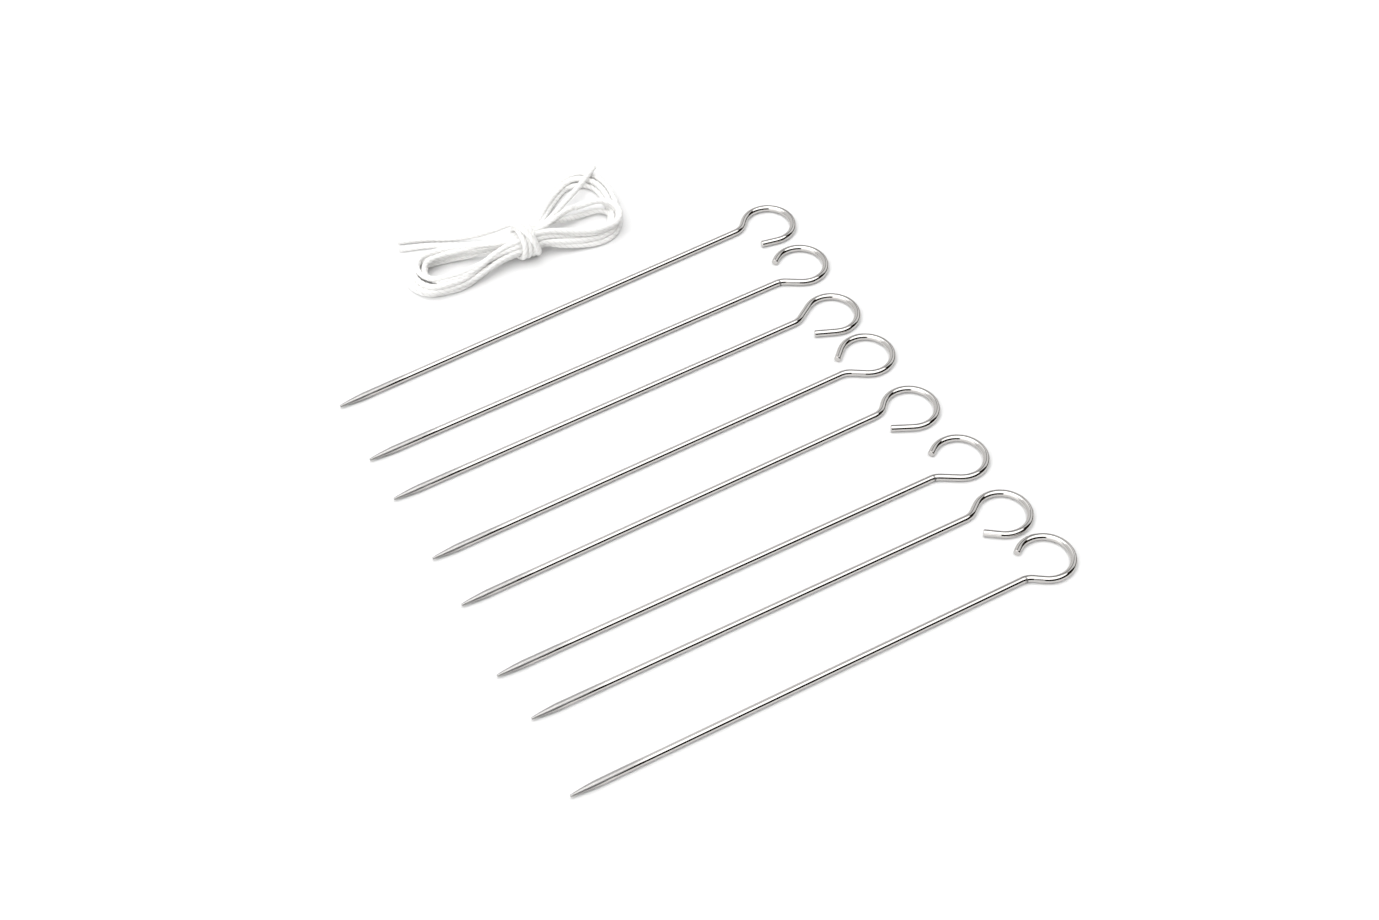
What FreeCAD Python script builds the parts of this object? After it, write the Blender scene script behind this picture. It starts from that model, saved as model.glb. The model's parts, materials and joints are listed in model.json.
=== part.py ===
"""Eight lacing pins bent from one gauge of plated wire, laid in a row, with a tied hank of cotton twine.

Frame, in millimetres: X runs along the row's shafts from the points to the rings, Y across the row
towards the twine, and Z up. The origin is on the surface under the middle of the row.
"""
import FreeCAD, Part
import math
import os

# Wire and pin, all in millimetres unless a name says degrees.
WIRE_DIAMETER = 1.5
WIRE_LENGTH = 132.0       # every pin is cut to this length along its centreline before bending
RING_RADIUS = 5.65        # centreline of the finger ring
KINK_RADIUS = 4.0         # centreline of the bend between shaft and ring
POINT_LENGTH = 5.5        # ground taper
POINT_END_DIAMETER = 0.5  # blunt flat at the end of the point
POINT_BULGE = 0.05        # how far the taper stands outside a straight cone at its middle
TAIL_CHAMFER = 0.12       # broken edge of the sheared end

# One row per pin: the point's x and y, the shaft's heading in degrees, the kink's turn in degrees,
# the straight neck after the kink, the ring's sweep in degrees, the straight tail after the ring,
# and +1 where the ring is thrown to +Y or -1 where the pin lies on its other face.
PINS = [
    (-53.6, 55.0, 1.7, 45.0, 1.3, 239.0, 3.7, +1),
    (-55.1, 37.9, 0.6, 35.0, 3.1, 254.0, 1.1, -1),
    (-55.8, 25.5, 0.4, 32.0, 4.2, 237.0, 4.7, +1),
    (-56.4, 7.2, 0.3, 36.0, 3.0, 258.0, 3.1, -1),
    (-57.1, -6.4, 0.1, 45.0, 1.2, 253.0, 4.8, +1),
    (-59.5, -25.4, -0.9, 33.0, 4.0, 249.0, 1.4, -1),
    (-58.8, -37.7, -1.1, 37.0, 1.8, 255.0, 3.6, +1),
    (-61.3, -56.8, -1.0, 37.0, 2.2, 257.0, 0.7, -1),
]

# Twine: a hank of looped turns pinched at a waist, and a short tie wound round the waist.
TWINE_DIAMETER = 1.3
WAIST_CENTRE = FreeCAD.Vector(3.0, 77.2, 4.05)
WAIST_RADIUS = 2.75
TIE_LENGTH = 5.2          # four turns side by side
LOBE_HEIGHT = 5.0
LOBE_EDGE = 1.4           # rounding of the lobes' upper and lower edges
LEFT_LOBE = [
    (0.4, 79.4), (-8.6, 82.2), (-15.6, 86.2), (-21.2, 87.0), (-25.2, 82.6),
    (-24.8, 77.0), (-20.0, 74.2), (-12.6, 74.2), (-4.6, 74.8), (0.4, 75.0),
]
RIGHT_LOBE = [
    (5.6, 79.4), (10.9, 84.4), (16.4, 89.0), (22.9, 92.4), (28.4, 91.8), (30.4, 86.6),
    (29.0, 79.6), (26.2, 74.2), (21.4, 70.8), (15.4, 71.4), (9.9, 73.2), (5.6, 75.0),
]

# Routes of the tie's two loose ends, from the wound turns to the surface beyond the left lobe.
LONG_END_ROUTE = [
    (1.6, 80.6, 5.9), (-1.5, 83.4, 4.5), (-5.2, 86.2, 2.4),
    (-9.6, 89.4, 1.0), (-14.5, 92.9, 0.75), (-19.4, 94.9, 0.75),
]
SHORT_END_ROUTE = [
    (1.1, 80.4, 2.5), (-1.9, 82.3, 1.8), (-5.8, 84.6, 1.2),
    (-10.5, 87.9, 0.8), (-15.5, 90.9, 0.75), (-20.2, 92.4, 0.75),
]

UP = FreeCAD.Vector(0, 0, 1)


def heading(angle):
    """Unit vector in the XY plane at an angle in radians from +X."""
    return FreeCAD.Vector(math.cos(angle), math.sin(angle), 0)


def arc_edge(start, angle, radius, turn):
    """Arc in the XY plane that leaves start at angle and turns by turn, left when positive."""
    side = math.copysign(1.0, turn)
    centre = start + heading(angle + side * math.pi / 2) * radius
    middle = centre + heading(angle - side * math.pi / 2 + turn / 2) * radius
    end = centre + heading(angle - side * math.pi / 2 + turn) * radius
    return Part.Arc(start, middle, end).toShape(), end, angle + turn


def line_edge(start, angle, length):
    end = start + heading(angle) * length
    return Part.LineSegment(start, end).toShape(), end


def swept_round(edges, diameter):
    """Solid round bar along a chain of tangent edges."""
    path = Part.Wire(edges)
    first = edges[0]
    start = first.valueAt(first.FirstParameter)
    along = first.tangentAt(first.FirstParameter)
    section = Part.Wire(Part.makeCircle(diameter / 2, start, along))
    return path.makePipeShell([section], True, True)


def ground_point(tip, angle):
    """Taper from the blunt end to the wire's full section, turned about the shaft's axis."""
    end_radius = POINT_END_DIAMETER / 2
    wire_radius = WIRE_DIAMETER / 2
    middle_radius = (end_radius + wire_radius) / 2 + POINT_BULGE
    corners = [
        FreeCAD.Vector(0, 0, 0),
        FreeCAD.Vector(0, end_radius, 0),
        FreeCAD.Vector(POINT_LENGTH, wire_radius, 0),
        FreeCAD.Vector(POINT_LENGTH, 0, 0),
    ]
    middle = FreeCAD.Vector(POINT_LENGTH / 2, middle_radius, 0)
    outline = Part.Wire([
        Part.LineSegment(corners[0], corners[1]).toShape(),
        Part.Arc(corners[1], middle, corners[2]).toShape(),
        Part.LineSegment(corners[2], corners[3]).toShape(),
        Part.LineSegment(corners[3], corners[0]).toShape(),
    ])
    point = Part.Face(outline).revolve(FreeCAD.Vector(0, 0, 0), FreeCAD.Vector(1, 0, 0), 360)
    point.rotate(FreeCAD.Vector(0, 0, 0), UP, math.degrees(angle))
    point.translate(tip)
    return point


def lacing_pin(x, y, heading_deg, kink_deg, neck, sweep_deg, tail, side):
    """Straight shaft, kink, neck, open ring and tail, as one bent wire lying on the surface."""
    kink = math.radians(kink_deg)
    sweep = math.radians(sweep_deg)
    shaft = WIRE_LENGTH - KINK_RADIUS * kink - neck - RING_RADIUS * sweep - tail
    angle = math.radians(heading_deg)
    tip = FreeCAD.Vector(x, y, WIRE_DIAMETER / 2)
    shaft_start = tip + heading(angle) * POINT_LENGTH
    shaft_edge, at = line_edge(shaft_start, angle, shaft - POINT_LENGTH)
    kink_edge, at, kinked = arc_edge(at, angle, KINK_RADIUS, side * kink)
    neck_edge, at = line_edge(at, kinked, neck)
    ring_edge, at, after_ring = arc_edge(at, kinked, RING_RADIUS, -side * sweep)
    tail_edge, _ = line_edge(at, after_ring, tail)
    bar = swept_round([shaft_edge, kink_edge, neck_edge, ring_edge, tail_edge], WIRE_DIAMETER)
    sheared = [edge for edge in bar.Edges if is_end_circle(edge, tail_edge)]
    bar = bar.makeChamfer(TAIL_CHAMFER, sheared)
    return bar.fuse(ground_point(tip, angle)).removeSplitter()


def is_end_circle(edge, tail_edge):
    """True for the round edge at the free end of the tail."""
    end = tail_edge.valueAt(tail_edge.LastParameter)
    return edge.CenterOfMass.distanceToPoint(end) < 0.01 and edge.Closed


def lobe(outline):
    """One side of the hank: the outer shape of its looped turns."""
    points = [FreeCAD.Vector(px, py, 0) for px, py in outline]
    curve = Part.BSplineCurve()
    curve.interpolate(points)
    closing = Part.LineSegment(points[-1], points[0]).toShape()
    face = Part.Face(Part.Wire([curve.toShape(), closing]))
    block = face.extrude(FreeCAD.Vector(0, 0, LOBE_HEIGHT))
    rims = [edge for edge in block.Edges if edge.BoundBox.ZLength < 0.001]
    return block.makeFillet(LOBE_EDGE, rims)


def twine_hank():
    """Both lobes and the pinched waist between them, as one closed solid."""
    reach = 1.5
    start = WAIST_CENTRE - FreeCAD.Vector(TIE_LENGTH / 2 + reach, 0, 0)
    waist = Part.makeCylinder(WAIST_RADIUS, TIE_LENGTH + 2 * reach, start, FreeCAD.Vector(1, 0, 0))
    return waist.fuse([lobe(LEFT_LOBE), lobe(RIGHT_LOBE)]).removeSplitter()


def tie_wrap():
    """Outer shape of the four turns wound round the waist."""
    start = WAIST_CENTRE - FreeCAD.Vector(TIE_LENGTH / 2, 0, 0)
    along = FreeCAD.Vector(1, 0, 0)
    outside = Part.makeCylinder(WAIST_RADIUS + TWINE_DIAMETER, TIE_LENGTH, start, along)
    inside = Part.makeCylinder(WAIST_RADIUS, TIE_LENGTH, start, along)
    return outside.cut(inside)


def tube(name, route):
    """Twine along straight runs joined by tangent arcs, each as large as its two runs allow."""
    points = [FreeCAD.Vector(*point) for point in route]
    edges = []
    radii = []
    at = points[0]
    for before, corner, after in zip(points, points[1:], points[2:]):
        incoming = (corner - before).normalize()
        outgoing = (after - corner).normalize()
        turn = incoming.getAngle(outgoing)
        trim = 0.45 * min(before.distanceToPoint(corner), corner.distanceToPoint(after))
        radius = trim / math.tan(turn / 2)
        arc_start = corner - incoming * trim
        arc_end = corner + outgoing * trim
        bisector = (outgoing - incoming).normalize()
        centre = corner + bisector * (radius / math.cos(turn / 2))
        middle = centre - bisector * radius
        edges.append(Part.LineSegment(at, arc_start).toShape())
        edges.append(Part.Arc(arc_start, middle, arc_end).toShape())
        radii.append(radius)
        at = arc_end
    edges.append(Part.LineSegment(at, points[-1]).toShape())
    solid = swept_round(edges, TWINE_DIAMETER)
    length = sum(edge.Length for edge in edges)
    expected = math.pi * TWINE_DIAMETER ** 2 / 4 * length
    print(name, "radii", [round(radius, 1) for radius in radii], "length", round(length, 1),
          "volume ratio", round(solid.Volume / expected, 4))
    return solid


def main():
    nodes = {f"lacing_pin_{number}": lacing_pin(*row) for number, row in enumerate(PINS, start=1)}
    nodes["twine_hank"] = twine_hank()
    nodes["tie_wrap"] = tie_wrap()
    nodes["tie_long_end"] = tube("tie_long_end", LONG_END_ROUTE)
    nodes["tie_short_end"] = tube("tie_short_end", SHORT_END_ROUTE)
    os.makedirs("parts", exist_ok=True)
    for name, shape in nodes.items():
        box = shape.BoundBox
        print(name, shape.ShapeType, "valid", shape.isValid(), "solids", len(shape.Solids),
              "volume", round(shape.Volume, 2), "x", round(box.XMin, 2), round(box.XMax, 2),
              "y", round(box.YMin, 2), round(box.YMax, 2), "z", round(box.ZMin, 2), round(box.ZMax, 2))
        shape.exportStep(f"parts/{name}.step")


main()
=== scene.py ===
"""Looks for the ring-headed lacing pins and their hank of cotton twine. Metres, in the CAD's own frame."""
import json
import math

import bmesh
import bpy
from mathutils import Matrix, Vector


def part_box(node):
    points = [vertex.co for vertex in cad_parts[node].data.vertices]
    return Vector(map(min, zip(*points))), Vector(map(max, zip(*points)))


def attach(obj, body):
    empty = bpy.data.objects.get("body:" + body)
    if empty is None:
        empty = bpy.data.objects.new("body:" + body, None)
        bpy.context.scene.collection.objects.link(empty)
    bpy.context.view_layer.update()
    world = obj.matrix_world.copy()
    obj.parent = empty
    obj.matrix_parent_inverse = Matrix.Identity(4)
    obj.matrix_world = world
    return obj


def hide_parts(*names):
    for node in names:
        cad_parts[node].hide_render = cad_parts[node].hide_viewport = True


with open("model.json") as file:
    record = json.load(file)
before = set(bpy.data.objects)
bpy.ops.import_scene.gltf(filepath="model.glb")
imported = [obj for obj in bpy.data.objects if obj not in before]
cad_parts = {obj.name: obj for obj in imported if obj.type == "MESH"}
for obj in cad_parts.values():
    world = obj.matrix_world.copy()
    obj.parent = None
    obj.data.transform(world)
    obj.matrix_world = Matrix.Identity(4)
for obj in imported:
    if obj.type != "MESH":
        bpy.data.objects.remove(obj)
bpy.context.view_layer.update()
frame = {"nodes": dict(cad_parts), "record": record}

MM = 0.001
NODES = frame["nodes"]
MOUNTS = {mount["name"]: mount for mount in frame["record"]["mounts"]}
PIN_COUNT = 8

# ---------------------------------------------------------------- dimensions
WIRE_RADIUS = MOUNTS["pin_1_shaft"]["dims"]["r_mm"] * MM
POINT_LENGTH = 5.5 * MM       # ground taper of a pin
NICKED_PINS = (2, 6, 8)       # pins the bending tool nicked inside the kink
NICK_PAST_SHAFT = 0.9 * MM    # how far into the kink the nick sits

TWINE = 1.3 * MM              # diameter of the cotton twine
PLIES = 3                     # plies laid up into the twine
PLY_LAY = 4.0 * MM            # length along the twine of one full turn of a ply
PLY_GROOVE = 0.24             # depth of the groove between plies, as a share of the radius
FRAY_FIBRES = 22              # loose fibres at a cut end
FRAY_LENGTH = 1.5 * MM

tie_low, tie_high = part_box("tie_wrap")
WAIST = (tie_low + tie_high) / 2
WAIST_HALF = (tie_high.x - tie_low.x) / 2
TURNS = 8                     # turns of the hank, each passing the waist twice
WAIST_MARGIN = 0.9 * MM       # straight stretch past each side of the tie
SQUEEZE = 0.93                # how far the tie presses the strands together at the waist

# Where the strands pass the waist, in twine diameters from its axis: those that lead to the
# hank's +Y side and those that lead to its -Y side, from the bottom of the bundle to its top.
PLUS_SLOTS = [(0.46, -1.15), (1.38, -1.15), (0.88, -0.35), (1.77, -0.35),
              (0.46, 0.46), (1.38, 0.46), (0.0, 1.27), (0.92, 1.27)]
MINUS_SLOTS = [(-0.46, -1.15), (-1.38, -1.15), (-1.77, -0.35), (-0.88, -0.35),
               (0.0, -0.35), (-0.46, 0.46), (-1.38, 0.46), (-0.92, 1.27)]

# Outline the widest turns follow round the right lobe, in millimetres, from its lower side to its upper.
LOBE_OUTLINE = [(9.9, 73.6), (14.4, 72.0), (18.8, 71.2), (22.8, 71.6), (26.0, 74.2),
                (28.0, 78.2), (29.3, 82.4), (29.8, 86.6), (29.4, 90.2), (27.6, 92.8),
                (24.9, 94.1), (21.6, 93.9), (16.0, 90.4), (10.4, 84.8)]
LOBE_MIDDLE = (18.0, 80.5)
LOBE_REACH = 12.0             # mean distance from the lobe's middle to its outline
WIDE_TURNS = 5
# Inset and height above the floor of each wide turn, then half width and height of each flat one.
WIDE_LOOPS = [(0.6, 0.05), (1.8, 0.05), (1.2, 1.2), (3.0, 0.1), (2.4, 1.3)]
FLAT_LOOPS = [(5.0, 2.4), (4.2, 0.3), (4.5, 3.5)]
LAST_RETURN_POINTS = 3        # the twine's other end stops this many points into the last turn's return

# Half width, length and height above the floor of each turn in the left lobe, in millimetres.
LEFT_LOOPS = [(5.8, 23.6, 0.05), (4.7, 22.0, 0.05), (5.3, 23.1, 1.2), (4.2, 20.6, 0.3),
              (4.9, 22.3, 2.3), (4.2, 19.8, 1.5), (4.5, 21.4, 3.3), (4.2, 20.2, 2.7)]

# Free end of the hank's twine, from its cut to the waist.
FREE_END = [(29.2, 91.6, 3.6), (27.0, 90.2, 3.4), (23.2, 87.8, 3.2),
            (18.0, 85.0, 3.1), (13.0, 81.8, 3.6), (9.2, 79.2, 4.1)]

# Loose ends of the tie, the routes of their CAD tubes in metres.
LONG_END_ROUTE = [
    (0.0016, 0.0806, 0.0059), (-0.0015, 0.0834, 0.0045), (-0.0052, 0.0862, 0.0024),
    (-0.0096, 0.0894, 0.0010), (-0.0145, 0.0929, 0.00075), (-0.0194, 0.0949, 0.00075),
]
SHORT_END_ROUTE = [
    (0.0011, 0.0804, 0.0025), (-0.0019, 0.0823, 0.0018), (-0.0058, 0.0846, 0.0012),
    (-0.0105, 0.0879, 0.0008), (-0.0155, 0.0909, 0.00075), (-0.0202, 0.0924, 0.00075),
]
# Where the tie passes from its short end into its first turn round the waist.
TIE_LEAD_IN = (-0.0003, 0.0808, 0.00135)
TIE_START = -57.0             # degrees round the waist from +Y, where the first turn begins
TIE_STEP = 30                 # degrees between control points of a turn
TIE_WOUND = 3 * 360 + 70      # degrees wound from the first turn to the last
TIE_OVER = 200                # degrees of the pass back over the turns
TIE_OVER_STEP = 20
OVER_LIFT = 0.92 * TWINE      # how far the pass back over stands outside the turns


# ---------------------------------------------------------------- node helpers
class Graph:
    """Small helper that adds and links shader nodes."""

    def __init__(self, tree):
        self.tree = tree
        tree.nodes.clear()

    def add(self, kind, inputs=None, **settings):
        node = self.tree.nodes.new(kind)
        for name, value in settings.items():
            setattr(node, name, value)
        for name, value in (inputs or {}).items():
            if isinstance(value, bpy.types.NodeSocket):
                self.tree.links.new(value, node.inputs[name])
            else:
                node.inputs[name].default_value = value
        return node

    def math(self, operation, a, b=0.0, clamp=False):
        return self.add("ShaderNodeMath", {0: a, 1: b}, operation=operation, use_clamp=clamp).outputs[0]

    def ramp(self, value, low, high, to_low=0.0, to_high=1.0):
        """Smooth step of value from low to high, mapped to to_low and to_high."""
        node = self.add("ShaderNodeMapRange", {"Value": value, "From Min": low, "From Max": high,
                                               "To Min": to_low, "To Max": to_high},
                        interpolation_type="SMOOTHSTEP")
        return node.outputs["Result"]

    def noise(self, vector, scale, detail=2.0, roughness=0.5):
        node = self.add("ShaderNodeTexNoise", {"Vector": vector, "Scale": scale, "Detail": detail,
                                               "Roughness": roughness})
        return node.outputs["Fac"]

    def stretched(self, vector, scale):
        return self.add("ShaderNodeMapping", {"Vector": vector, "Scale": scale}).outputs["Vector"]

    def mix_colour(self, share, first, second):
        node = self.add("ShaderNodeMix", data_type="RGBA")
        for socket, value in ((node.inputs[0], share), (node.inputs[6], first), (node.inputs[7], second)):
            if isinstance(value, bpy.types.NodeSocket):
                self.tree.links.new(value, socket)
            else:
                socket.default_value = value
        return node.outputs[2]


def new_material(name):
    material = bpy.data.materials.new(name)
    material.use_nodes = True
    return material, Graph(material.node_tree)


# ---------------------------------------------------------------- materials
def wire_material(name, tip, shaft_angle, mark_at):
    """Bright nickel-plated wire, with a satin ground point that fades up the shaft from tip.

    mark_at is the distance from the tip to the nick the bending tool left, or None.
    """
    material, g = new_material(name)
    place = g.add("ShaderNodeTexCoord").outputs["Object"]
    along = g.add("ShaderNodeMapping", {"Vector": place, "Location": tip, "Rotation": (0, 0, shaft_angle)},
                  vector_type="TEXTURE").outputs["Vector"]
    split = g.add("ShaderNodeSeparateXYZ", {"Vector": along})
    distance, side, height = split.outputs["X"], split.outputs["Y"], split.outputs["Z"]

    # The ground finish covers the point all round, and runs further up one flank.
    flank = g.math("ADD", height, g.math("MULTIPLY", side, 0.6))
    edge_noise = g.math("MULTIPLY", g.noise(g.stretched(along, (1, 6, 6)), 420), 3.5 * MM)
    reach = g.ramp(flank, -0.3 * WIRE_RADIUS, 0.6 * WIRE_RADIUS, 4.5 * MM, 14.0 * MM)
    reach = g.math("ADD", reach, edge_noise)
    beyond = g.math("SUBTRACT", distance, reach)
    ground = g.ramp(beyond, -3.0 * MM, 1.0 * MM, 1.0, 0.0)

    cloud = g.noise(g.stretched(along, (1, 3, 3)), 160, 3)
    draw_lines = g.noise(g.stretched(along, (0.02, 1, 1)), 14000, 2)
    grind_lines = g.noise(g.stretched(along, (1, 0.16, 0.16)), 9000, 3, 0.65)
    grains = g.noise(along, 11000, 2)

    polished = g.mix_colour(cloud, (0.55, 0.534, 0.518, 1), (0.61, 0.594, 0.578, 1))
    satin = g.mix_colour(grind_lines, (0.27, 0.266, 0.26, 1), (0.56, 0.552, 0.542, 1))
    colour = g.mix_colour(ground, polished, satin)

    bright_rough = g.ramp(cloud, 0.25, 0.75, 0.03, 0.07)
    satin_rough = g.ramp(grains, 0.3, 0.7, 0.28, 0.46)
    roughness = g.add("ShaderNodeMix", {"Factor": ground, "A": bright_rough, "B": satin_rough}).outputs[0]

    if mark_at:
        off_mark = g.math("ABSOLUTE", g.math("SUBTRACT", distance, mark_at))
        low_side = g.ramp(side, -0.3 * WIRE_RADIUS, 0.1 * WIRE_RADIUS, 1.0, 0.0)
        nick = g.math("MULTIPLY", g.ramp(off_mark, 0.10 * MM, 0.28 * MM, 1.0, 0.0), low_side)
        colour = g.mix_colour(nick, colour, (0.22, 0.215, 0.21, 1))
        roughness = g.math("ADD", roughness, g.math("MULTIPLY", nick, 0.3))

    fine = g.math("MULTIPLY", draw_lines, 0.05)
    coarse = g.math("MULTIPLY", g.math("ADD", grind_lines, grains), ground)
    relief = g.math("ADD", fine, coarse)
    bump = g.add("ShaderNodeBump", {"Height": relief, "Strength": 0.35, "Distance": 0.03 * MM})
    shader = g.add("ShaderNodeBsdfPrincipled",
                   {"Base Color": colour, "Roughness": roughness, "Normal": bump.outputs["Normal"],
                    "Metallic": 1.0})
    g.add("ShaderNodeOutputMaterial", {"Surface": shader.outputs[0]})
    return material


def cotton_material(name):
    """Undyed plied cotton: fibres run along each ply, with a soft sheen."""
    material, g = new_material(name)
    coordinates = g.add("ShaderNodeTexCoord")
    place, wound = coordinates.outputs["Object"], coordinates.outputs["UV"]
    fibres = g.noise(g.stretched(wound, (0.35, 9.0, 1)), 6.0, 4, 0.6)
    fluff = g.noise(place, 5200, 4, 0.65)
    slubs = g.noise(place, 240, 2)
    shade = g.math("ADD", g.math("MULTIPLY", fibres, 0.6), g.math("MULTIPLY", slubs, 0.4))
    colour = g.mix_colour(shade, (0.89, 0.885, 0.869, 1), (0.95, 0.947, 0.937, 1))

    # Painted shade: between two plies the twine is coloured darker and a little warmer, standing in for
    # the shade that falls in the groove.
    turned = g.add("ShaderNodeSeparateXYZ", {"Vector": wound}).outputs["Y"]
    crown = g.math("ABSOLUTE", g.math("COSINE", g.math("MULTIPLY", turned, math.pi * PLIES)))
    painted_groove_shade = g.math("MULTIPLY", g.ramp(crown, 0.0, 0.55, 1.0, 0.0), 0.55)
    colour = g.mix_colour(painted_groove_shade, colour, (0.71, 0.696, 0.664, 1))
    roughness = g.ramp(fluff, 0.2, 0.8, 0.82, 0.98)
    relief = g.math("ADD", g.math("MULTIPLY", fibres, 0.6), g.math("MULTIPLY", fluff, 0.5))
    bump = g.add("ShaderNodeBump", {"Height": relief, "Strength": 0.8, "Distance": 0.12 * MM})
    shader = g.add("ShaderNodeBsdfPrincipled",
                   {"Base Color": colour, "Roughness": roughness, "Normal": bump.outputs["Normal"],
                    "Sheen Weight": 0.25, "Sheen Roughness": 0.6, "Specular IOR Level": 0.2})
    g.add("ShaderNodeOutputMaterial", {"Surface": shader.outputs[0]})
    return material


# ---------------------------------------------------------------- pins
def finish_pins():
    """Gives every pin its own material, placed from its shaft mount."""
    for number in range(1, PIN_COUNT + 1):
        pin = NODES[f"lacing_pin_{number}"]
        mount = MOUNTS[f"pin_{number}_shaft"]
        middle, towards_point = Vector(mount["pos_m"]), Vector(mount["axis"])
        half_shaft = mount["dims"]["length_mm"] * MM / 2
        tip = middle + towards_point * (half_shaft + POINT_LENGTH)
        angle = math.atan2(-towards_point.y, -towards_point.x)
        mark_at = 2 * half_shaft + POINT_LENGTH + NICK_PAST_SHAFT if number in NICKED_PINS else None
        material = wire_material(f"plated_wire_{number}", tip, angle, mark_at)
        pin.data.materials.clear()
        pin.data.materials.append(material)


# ---------------------------------------------------------------- twine routes
def ease(share):
    share = min(max(share, 0.0), 1.0)
    return share * share * (3 - 2 * share)


def wobble(turn, kind):
    """Even-handed unevenness between -1 and 1, the same on every run."""
    return math.sin(2.4 * turn + 1.7 * kind + 0.6)


class Loop:
    """One loop of the hank: out from the waist at an angle, round a fold, and back."""

    SIDE_STEPS = (0.18, 0.38, 0.57, 0.74)
    FOLD_POINTS = 5

    def __init__(self, mouth, angle, length, half_width, level, settle):
        self.mouth, self.length, self.half_width = mouth, length, half_width
        self.level, self.settle = level, settle
        self.out = Vector((math.cos(angle), math.sin(angle), 0))
        self.across = Vector((-math.sin(angle), math.cos(angle), 0))

    def side(self, slot, sign):
        """Points from the waist to the fold, from the strand's slot out to the loop's own level."""
        straight = self.length - self.half_width
        gap = 0.55 * self.half_width
        points = []
        for run in [step * straight for step in self.SIDE_STEPS] + [straight - gap, straight]:
            opened = ease(run / (straight - gap))
            drop = ease(run / self.settle)
            y, z = slot
            point = self.mouth + self.out * run + self.across * (sign * opened * self.half_width)
            point.y += y * (1 - opened)
            start = self.mouth.z + z
            point.z = start + (self.level - start) * drop
            points.append(point)
        return points

    def fold(self, sign):
        """Points round the far end, set out a little because a spline cuts inside its control points."""
        centre = self.mouth + self.out * (self.length - self.half_width)
        radius = 1.06 * self.half_width
        points = []
        for index in range(1, self.FOLD_POINTS + 1):
            bearing = math.pi / 2 - math.pi * index / (self.FOLD_POINTS + 1)
            point = centre + self.out * (math.cos(bearing) * radius)
            point += self.across * (sign * math.sin(bearing) * radius)
            point.z = self.level
            points.append(point)
        return points


def left_loop(turn, mouth):
    width, length, level = LEFT_LOOPS[turn]
    return Loop(mouth,
                angle=math.radians(171.0 + 2.4 * wobble(turn, 2)),
                length=length * MM,
                half_width=width * MM,
                level=TWINE / 2 + level * MM,
                settle=13.0 * MM)


def flat_loop(turn, mouth):
    """The last turns of the right lobe lie along +X, over and inside the wide ones."""
    width, level = FLAT_LOOPS[turn - WIDE_TURNS]
    return Loop(mouth,
                angle=math.radians(-2.0 + 3.0 * wobble(turn, 4)),
                length=(14.4 + 1.15 * width + 0.4 * wobble(turn, 6)) * MM,
                half_width=width * MM,
                level=TWINE / 2 + level * MM,
                settle=14.0 * MM)


def wide_loop(turn, enter, leave):
    """Points round the whole right lobe, from the waist's lower side to its upper side."""
    inset, level = WIDE_LOOPS[turn]
    scale = 1.05 - (inset + 0.25 * wobble(turn, 3)) / LOBE_REACH
    points = []
    for number, (x, y) in enumerate(LOBE_OUTLINE):
        at_x = LOBE_MIDDLE[0] + (x - LOBE_MIDDLE[0]) * scale
        at_y = LOBE_MIDDLE[1] + (y - LOBE_MIDDLE[1]) * scale + 0.2 * wobble(turn, number)
        start = WAIST.z + (enter if number < len(LOBE_OUTLINE) / 2 else leave)[1]
        settled = ease((at_x * MM - WAIST.x - WAIST_HALF) / (13.0 * MM))
        points.append(Vector((at_x * MM, at_y * MM, start + (TWINE / 2 + level * MM - start) * settled)))
    return points


def slot_offset(slot):
    y, z = slot
    return y * TWINE * SQUEEZE, z * TWINE * SQUEEZE


def waist_points(slot, from_x, to_x):
    y, z = slot
    return [Vector((x, WAIST.y + y, WAIST.z + z)) for x in (from_x, WAIST.x, to_x)]


def hank_route():
    """Control points of the hank's one length of twine, from its free end at the right lobe's tip."""
    left_mouth = WAIST - Vector((WAIST_HALF + WAIST_MARGIN, 0, 0))
    right_mouth = WAIST + Vector((WAIST_HALF + WAIST_MARGIN, 0, 0))
    points = [Vector(point) * MM for point in FREE_END]
    for turn in range(TURNS):
        plus, minus = slot_offset(PLUS_SLOTS[turn]), slot_offset(MINUS_SLOTS[turn])
        following = slot_offset(PLUS_SLOTS[turn + 1]) if turn + 1 < TURNS else (0.0, 1.6 * TWINE)
        left = left_loop(turn, left_mouth)
        points += waist_points(plus, right_mouth.x, left_mouth.x)
        points += left.side(plus, -1) + left.fold(-1) + left.side(minus, 1)[::-1]
        points += waist_points(minus, left_mouth.x, right_mouth.x)
        if turn < WIDE_TURNS:
            points += wide_loop(turn, minus, following)
        else:
            right = flat_loop(turn, right_mouth)
            back = right.side(following, 1)[::-1]
            points += right.side(minus, -1) + right.fold(-1)
            points += back if turn + 1 < TURNS else back[:LAST_RETURN_POINTS]
    return points


def tie_route():
    """Control points of the tie: in low, just over three turns round the waist, back over them, out."""
    radius = WAIST.z - TWINE / 2
    first_x = WAIST.x - WAIST_HALF + TWINE / 2
    last_x = WAIST.x + WAIST_HALF - TWINE / 2
    points = [Vector(point) for point in reversed(SHORT_END_ROUTE)][:-1] + [Vector(TIE_LEAD_IN)]
    for degrees in range(0, TIE_WOUND, TIE_STEP):
        x = first_x + (last_x - first_x) * degrees / TIE_WOUND
        points.append(round_waist(x, TIE_START - degrees, radius))
    for degrees in range(0, TIE_OVER, TIE_OVER_STEP):
        share = degrees / TIE_OVER
        x = last_x + (first_x - last_x) * ease(share)
        raised = radius + OVER_LIFT * ease(2.4 * share)
        points.append(round_waist(x, TIE_START - TIE_WOUND - degrees, raised))
    points += [Vector(point) for point in LONG_END_ROUTE[1:]]
    return points


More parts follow.
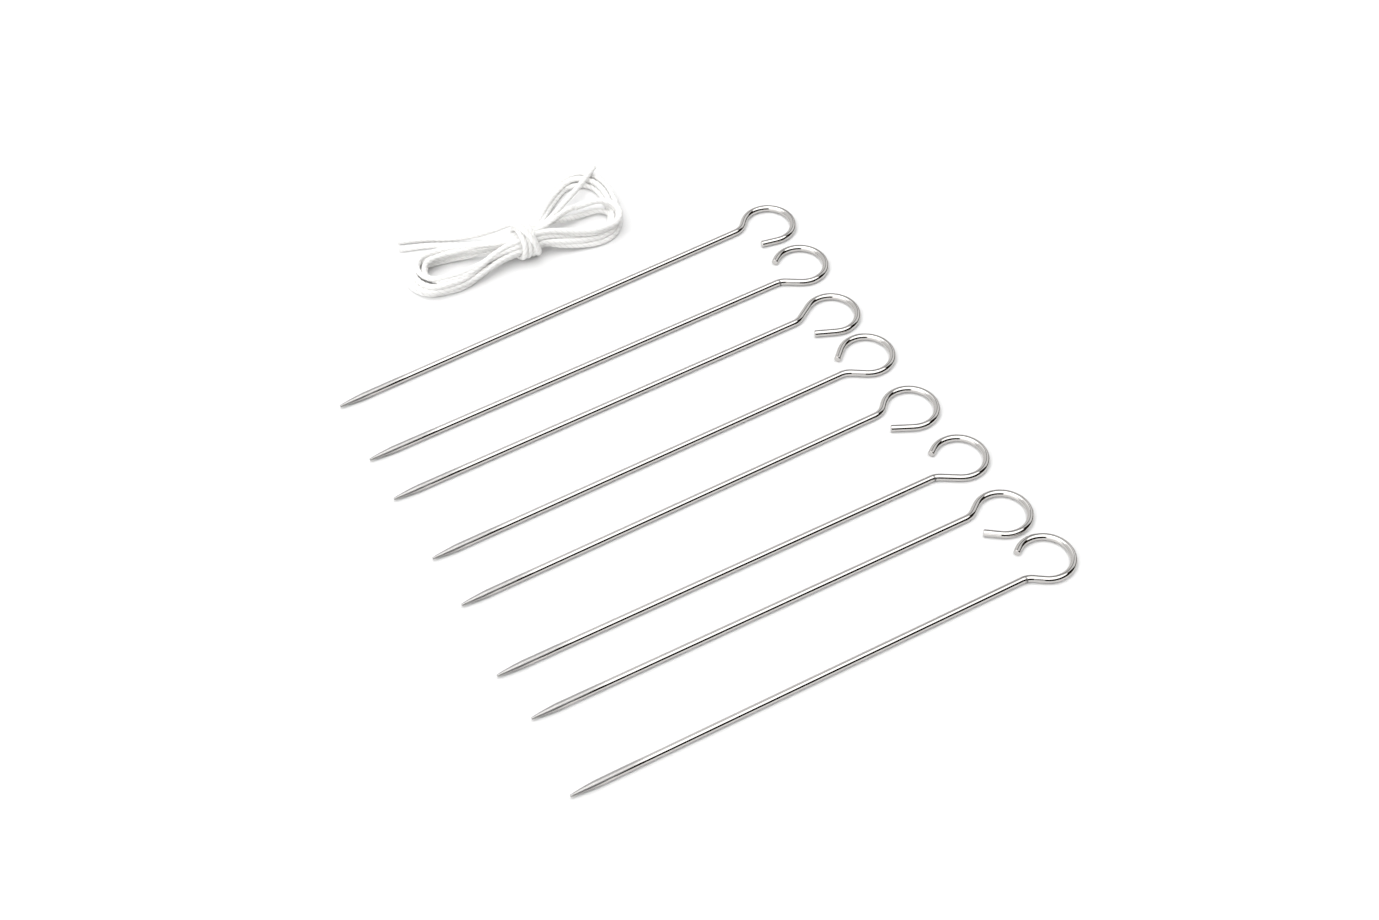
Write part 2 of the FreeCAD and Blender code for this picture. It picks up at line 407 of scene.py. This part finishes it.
def round_waist(x, degrees, radius):
    """A control point of a turn round the waist; a spline cuts inside its control points."""
    angle = math.radians(degrees)
    outside = radius * 1.03
    return Vector((x, WAIST.y + outside * math.cos(angle), WAIST.z + outside * math.sin(angle)))


def smooth_line(name, control):
    """Points along the NURBS spline of a route."""
    curve = bpy.data.curves.new(name, "CURVE")
    curve.dimensions = "3D"
    curve.resolution_u = 12
    spline = curve.splines.new("NURBS")
    spline.points.add(len(control) - 1)
    for target, point in zip(spline.points, control):
        target.co = (*point, 1.0)
    spline.order_u = 3
    spline.use_endpoint_u = True
    carrier = bpy.data.objects.new(name, curve)
    mesh = bpy.data.meshes.new_from_object(carrier)
    line = [vertex.co.copy() for vertex in mesh.vertices]
    bpy.data.meshes.remove(mesh)
    bpy.data.objects.remove(carrier)
    bpy.data.curves.remove(curve)
    return line


def evenly(line, step):
    """The same line with points a fixed step apart, and its length."""
    along = [0.0]
    for before, after in zip(line, line[1:]):
        along.append(along[-1] + (after - before).length)
    count = max(2, round(along[-1] / step))
    points, index = [], 0
    for number in range(count + 1):
        target = along[-1] * number / count
        while index < len(line) - 2 and along[index + 1] < target:
            index += 1
        span = max(along[index + 1] - along[index], 1e-12)
        points.append(line[index].lerp(line[index + 1], (target - along[index]) / span))
    return points, along[-1]


def above_surface(place):
    """The twine is soft, so where it lies on the surface it flattens instead of sinking in."""
    place.z = max(place.z, 0.0)
    return place


def fray(bm, end, outward):
    """Loose fibres that stand out of a cut end, each a three-sided sliver that bends away."""
    first = outward.orthogonal().normalized()
    second = outward.cross(first)
    steps = 4
    for number in range(FRAY_FIBRES):
        bearing = 2.4 * number
        share = math.sqrt((number + 0.5) / FRAY_FIBRES)
        aside = first * math.cos(bearing) + second * math.sin(bearing)
        reach = FRAY_LENGTH * (0.55 + 0.45 * math.sin(5.1 * number) ** 2)
        before = None
        for step in range(steps + 1):
            run = step / steps
            spread = share * 0.42 * TWINE * (1 + 1.1 * run * run)
            centre = end + outward * (reach * run - 0.2 * MM) + aside * spread
            thick = 0.055 * MM * (1 - 0.75 * run)
            ring = []
            for corner in range(3):
                turn = 2 * math.pi * corner / 3
                offset = first * (math.cos(turn) * thick) + second * (math.sin(turn) * thick)
                ring.append(bm.verts.new(above_surface(centre + offset)))
            if before:
                for corner in range(3):
                    following = (corner + 1) % 3
                    bm.faces.new((before[corner], before[following], ring[following], ring[corner]))
            else:
                bm.faces.new(ring[::-1])
            before = ring
        bm.faces.new(before)


def plied_twine(name, control, material, ring_step=0.32 * MM, around=18):
    """A tube along the route whose section is plies laid up together, turning as they run."""
    line, length = evenly(smooth_line(name + "_route", control), ring_step)
    mesh = bpy.data.meshes.new(name)
    bm = bmesh.new()
    uv = bm.loops.layers.uv.new("wound")
    normal = (line[1] - line[0]).orthogonal().normalized()
    rings = []
    for index, point in enumerate(line):
        before, after = line[max(index - 1, 0)], line[min(index + 1, len(line) - 1)]
        tangent = (after - before).normalized()
        normal = (normal - tangent * normal.dot(tangent)).normalized()
        binormal = tangent.cross(normal)
        travelled = length * index / (len(line) - 1)
        lay = 2 * math.pi * travelled / PLY_LAY
        slub = 1 + 0.035 * math.sin(travelled / (2.9 * MM))
        slub += 0.025 * math.sin(travelled / (0.83 * MM) + 1.0)
        ring = []
        for step in range(around):
            angle = 2 * math.pi * step / around
            crown = abs(math.cos(PLIES / 2 * (angle - lay)))
            radius = TWINE / 2 * slub * (1.03 - PLY_GROOVE * (1 - crown) ** 1.6)
            offset = normal * (math.cos(angle) * radius) + binormal * (math.sin(angle) * radius)
            ring.append(bm.verts.new(above_surface(point + offset)))
        rings.append(ring)
    for index in range(len(rings) - 1):
        for step in range(around):
            following = (step + 1) % around
            face = bm.faces.new((rings[index][step], rings[index][following],
                                 rings[index + 1][following], rings[index + 1][step]))
            face.smooth = True
            for loop, (ahead, turn) in zip(face.loops, ((0, 0), (0, 1), (1, 1), (1, 0))):
                travelled = length * (index + ahead) / (len(rings) - 1)
                share = (step + turn) / around - travelled / PLY_LAY
                loop[uv].uv = (travelled / TWINE, share)
    bm.faces.new(reversed(rings[0]))
    bm.faces.new(rings[-1])
    fray(bm, line[0], (line[0] - line[2]).normalized())
    fray(bm, line[-1], (line[-1] - line[-3]).normalized())
    bm.normal_update()
    bm.to_mesh(mesh)
    bm.free()
    mesh.materials.append(material)
    twine = bpy.data.objects.new(name, mesh)
    bpy.context.scene.collection.objects.link(twine)
    return twine, line


def make_twine():
    cotton = cotton_material("cotton_twine")
    tie_cotton = cotton_material("tie_twine")
    hank, line = plied_twine("hank_twine", hank_route(), cotton)
    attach(hank, "twine")
    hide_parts("twine_hank")
    tie, line = plied_twine("tie_twine", tie_route(), tie_cotton)
    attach(tie, "twine")
    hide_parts("tie_wrap", "tie_long_end", "tie_short_end")


# ---------------------------------------------------------------- stage, camera and light
CAMERA_PLACE = Vector((-0.1754, -0.2846, 0.3629))
CAMERA_HEADING = 58.5         # degrees from +X in plan, the way the camera looks
CAMERA_PITCH = 47.0           # degrees below the horizon
CAMERA_LENS = 62.65           # millimetres, on a 36 mm wide sensor

# Brightness of the room the metal mirrors.
ROOM_WALL = 0.92
ROOM_DARK = 0.02
ROOM_DARK_COLOUR = (1.0, 0.72, 0.62, 1)   # warm, as the unlit end of the room is
ROOM_CARD = 0.9               # added to the wall where a white card stands
ROOM_PANEL = 2.4


def camera():
    heading, pitch = math.radians(CAMERA_HEADING), math.radians(CAMERA_PITCH)
    forward = Vector((math.cos(heading) * math.cos(pitch), math.sin(heading) * math.cos(pitch),
                      -math.sin(pitch)))
    data = bpy.data.cameras.new("camera")
    data.lens = CAMERA_LENS
    data.sensor_width = 36.0
    data.clip_start = 0.01
    data.clip_end = 50.0
    view = bpy.data.objects.new("camera", data)
    view.location = CAMERA_PLACE
    view.rotation_mode = "QUATERNION"
    view.rotation_quaternion = forward.to_track_quat("-Z", "Y")
    bpy.context.scene.collection.objects.link(view)
    bpy.context.scene.camera = view


def floor():
    material, g = new_material("studio_floor")
    shader = g.add("ShaderNodeBsdfPrincipled", {"Base Color": (0.81, 0.81, 0.81, 1), "Roughness": 0.9,
                                                "Specular IOR Level": 0.1})
    g.add("ShaderNodeOutputMaterial", {"Surface": shader.outputs[0]})
    mesh = bpy.data.meshes.new("studio_floor")
    bm = bmesh.new()
    bmesh.ops.create_grid(bm, x_segments=1, y_segments=1, size=3.0)
    bm.to_mesh(mesh)
    bm.free()
    mesh.materials.append(material)
    plane = bpy.data.objects.new("studio_floor", mesh)
    bpy.context.scene.collection.objects.link(plane)


def softbox(name, place, target, size, power):
    data = bpy.data.lights.new(name, "AREA")
    data.shape = "DISK"
    data.size = size
    data.energy = power
    lamp = bpy.data.objects.new(name, data)
    lamp.location = place
    lamp.rotation_mode = "QUATERNION"
    lamp.rotation_quaternion = (target - place).to_track_quat("-Z", "Y")
    bpy.context.scene.collection.objects.link(lamp)


def studio():
    """A light room with a white ceiling panel, dark to the camera's right, and a white card each side."""
    heading = math.radians(CAMERA_HEADING)
    world = bpy.data.worlds.new("studio")
    bpy.context.scene.world = world
    world.use_nodes = True
    g = Graph(world.node_tree)
    direction = g.add("ShaderNodeTexCoord").outputs["Generated"]
    height = g.add("ShaderNodeSeparateXYZ", {"Vector": direction}).outputs["Z"]
    nearer = g.add("ShaderNodeVectorMath", {0: direction, 1: (-math.cos(heading), -math.sin(heading), 0)},
                   operation="DOT_PRODUCT").outputs["Value"]
    right = g.add("ShaderNodeVectorMath", {0: direction, 1: (math.sin(heading), -math.cos(heading), 0)},
                  operation="DOT_PRODUCT").outputs["Value"]

    # The panel hangs over the object, its far edge higher than its near one.
    tilt = g.math("MULTIPLY", g.math("MINIMUM", nearer, 0.0), 0.5)
    panel = g.ramp(g.math("ADD", height, tilt), 0.73, 0.77)
    dark = g.math("MULTIPLY", g.ramp(right, -0.06, 0.0), g.ramp(nearer, -0.95, -0.05, 0.55, 1.0))
    left_card = g.math("MULTIPLY", g.ramp(right, -0.10, -0.05, 1.0, 0.0), g.ramp(nearer, 0.25, 0.45))
    right_card = g.math("MULTIPLY", g.ramp(right, 0.15, 0.35), g.ramp(nearer, -0.35, -0.2, 1.0, 0.0))
    right_card = g.math("MULTIPLY", right_card, g.ramp(height, 0.34, 0.44))
    card = g.math("MAXIMUM", left_card, right_card)
    plain_walls = g.ramp(dark, 0.0, 1.0, ROOM_WALL, ROOM_DARK)
    walls = g.math("ADD", plain_walls, g.math("MULTIPLY", card, ROOM_CARD))
    off_card, off_panel = g.ramp(card, 0.0, 0.2, 1.0, 0.0), g.ramp(panel, 0.0, 0.2, 1.0, 0.0)
    unlit = g.math("MULTIPLY", g.math("MULTIPLY", dark, off_card), off_panel)
    strength = g.add("ShaderNodeMix", {"Factor": panel, "A": walls, "B": ROOM_PANEL}).outputs[0]
    colour = g.mix_colour(g.ramp(unlit, 0.8, 1.0), (1, 1, 1, 1), ROOM_DARK_COLOUR)
    background = g.add("ShaderNodeBackground", {"Color": colour, "Strength": strength})
    g.add("ShaderNodeOutputWorld", {"Surface": background.outputs[0]})
    centre = Vector((0, 0, 0))
    away = Vector((math.cos(heading), math.sin(heading), 0))
    softbox("overhead_softbox", away * 0.25 + Vector((0, 0, 0.8)), centre, 0.7, 0.8)
    settings = bpy.context.scene.view_settings
    settings.view_transform = "Standard"
    settings.look = "None"
    settings.exposure = 0.0
    settings.gamma = 1.0


camera()
studio()
floor()
finish_pins()
make_twine()

bpy.context.view_layer.update()
